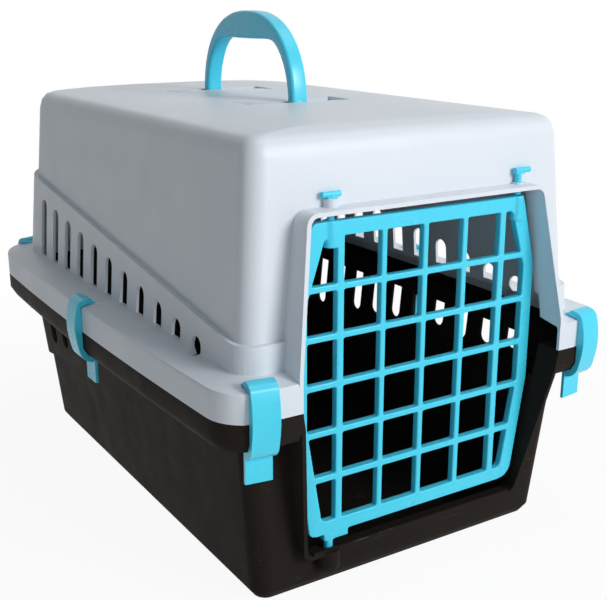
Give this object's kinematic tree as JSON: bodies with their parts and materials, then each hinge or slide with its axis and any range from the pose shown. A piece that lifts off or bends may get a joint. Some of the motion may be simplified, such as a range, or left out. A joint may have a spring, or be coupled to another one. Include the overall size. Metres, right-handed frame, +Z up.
{
  "type": "pet travel carrier",
  "caption": "Two-shell plastic carrier for a bird or small pet, with side vent slots, rim clips, a swinging grille door with sliding bolts and a folding top handle.",
  "frame": {"origin": "middle of the base, on the surface it stands on", "axes": "+Z up, the door faces -Y, +X is to the right of someone looking at the door"},
  "size_m": [0.3556, 0.4893, 0.392],
  "materials": {
    "upper_plastic": "satin moulded",
    "lower_plastic": "satin moulded",
    "coloured_plastic": "semi-gloss moulded"
  },
  "bodies": {
    "carrier": {"lower_shell": "lower_plastic", "upper_shell": "upper_plastic"},
    "door": {"door_grille": "coloured_plastic"},
    "hinge_bolt": {"hinge_bolt": "coloured_plastic"},
    "latch_bolt": {"latch_bolt": "coloured_plastic"},
    "handle": {"carry_handle": "coloured_plastic"},
    "clip_front_left": {"clip_front_left": "coloured_plastic"},
    "clip_front_right": {"clip_front_right": "coloured_plastic"},
    "clip_mid_left": {"clip_mid_left": "coloured_plastic"},
    "clip_mid_right": {"clip_mid_right": "coloured_plastic"},
    "clip_rear_left": {"clip_rear_left": "coloured_plastic"},
    "clip_rear_right": {"clip_rear_right": "coloured_plastic"}
  },
  "joints": [
    {"name": "door_hinge", "type": "hinge", "parent": "carrier", "child": "door", "pos_m": [-0.075, -0.2134, 0.05], "axis": [0, 0, -1], "range_deg": [0, 120]},
    {"name": "hinge_bolt_slide", "type": "slide", "parent": "carrier", "child": "hinge_bolt", "axis": [0, 0, 1], "range_m": [0, 0.016]},
    {"name": "latch_bolt_slide", "type": "slide", "parent": "carrier", "child": "latch_bolt", "axis": [0, 0, -1], "range_m": [0, 0.006]},
    {"name": "handle_fold", "type": "hinge", "parent": "carrier", "child": "handle", "pos_m": [0, 0.019, 0.318], "axis": [0, 1, 0], "range_deg": [-74, 74]},
    {"name": "clip_front_left_hinge", "type": "hinge", "parent": "carrier", "child": "clip_front_left", "pos_m": [-0.13881, -0.2282, 0.17165], "axis": [-0.9903, 0.1392, 0], "range_deg": [0, 85]},
    {"name": "clip_front_right_hinge", "type": "hinge", "parent": "carrier", "child": "clip_front_right", "pos_m": [0.13881, -0.2282, 0.17165], "axis": [-0.9903, -0.1392, 0], "range_deg": [0, 85]},
    {"name": "clip_mid_left_hinge", "type": "hinge", "parent": "carrier", "child": "clip_mid_left", "pos_m": [-0.1615, 0, 0.17165], "axis": [0, 1, 0], "range_deg": [0, 85]},
    {"name": "clip_mid_right_hinge", "type": "hinge", "parent": "carrier", "child": "clip_mid_right", "pos_m": [0.1615, 0, 0.17165], "axis": [0, -1, 0], "range_deg": [0, 85]},
    {"name": "clip_rear_left_hinge", "type": "hinge", "parent": "carrier", "child": "clip_rear_left", "pos_m": [-0.13284, 0.22492, 0.17165], "axis": [0.9272, 0.3746, 0], "range_deg": [0, 85]},
    {"name": "clip_rear_right_hinge", "type": "hinge", "parent": "carrier", "child": "clip_rear_right", "pos_m": [0.13284, 0.22492, 0.17165], "axis": [0.9272, -0.3746, 0], "range_deg": [0, 85]}
  ]
}
